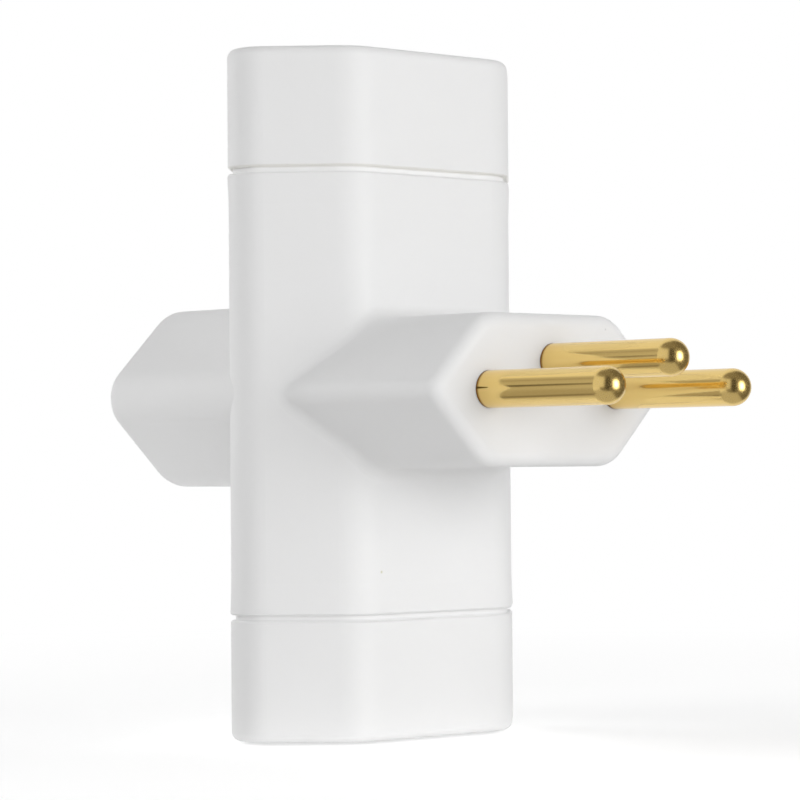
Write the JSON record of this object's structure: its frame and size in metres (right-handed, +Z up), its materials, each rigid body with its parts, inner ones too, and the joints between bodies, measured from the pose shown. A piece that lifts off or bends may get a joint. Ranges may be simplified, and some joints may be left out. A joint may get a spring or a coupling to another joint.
{
  "type": "multi socket adapter",
  "caption": "T-shaped mains plug adapter: hexagonal plug nose with round brass pins in front, and matching recessed sockets above, below and behind.",
  "frame": {"origin": "middle of the plug's flat face, on the line between the outer pins", "axes": "+Z up along the body, -Y out of the plug along its pins, +X across the pins"},
  "size_m": [0.04, 0.0713, 0.076],
  "materials": {
    "white_plastic": "white, satin gloss",
    "pin_brass": "polished",
    "contact_brass": "stamped, satin"
  },
  "bodies": {
    "root": {"housing": "white_plastic", "top_cap": "white_plastic", "bottom_cap": "white_plastic", "rear_socket_plate": "white_plastic", "line_pin": "pin_brass", "neutral_pin": "pin_brass", "earth_pin": "pin_brass", "line_bus": "contact_brass", "neutral_bus": "contact_brass", "earth_bus": "contact_brass", "top_line_clip": "contact_brass", "top_neutral_clip": "contact_brass", "top_earth_clip": "contact_brass", "bottom_line_clip": "contact_brass", "bottom_neutral_clip": "contact_brass", "bottom_earth_clip": "contact_brass", "rear_line_clip": "contact_brass", "rear_neutral_clip": "contact_brass", "rear_earth_clip": "contact_brass"}
  },
  "joints": []
}
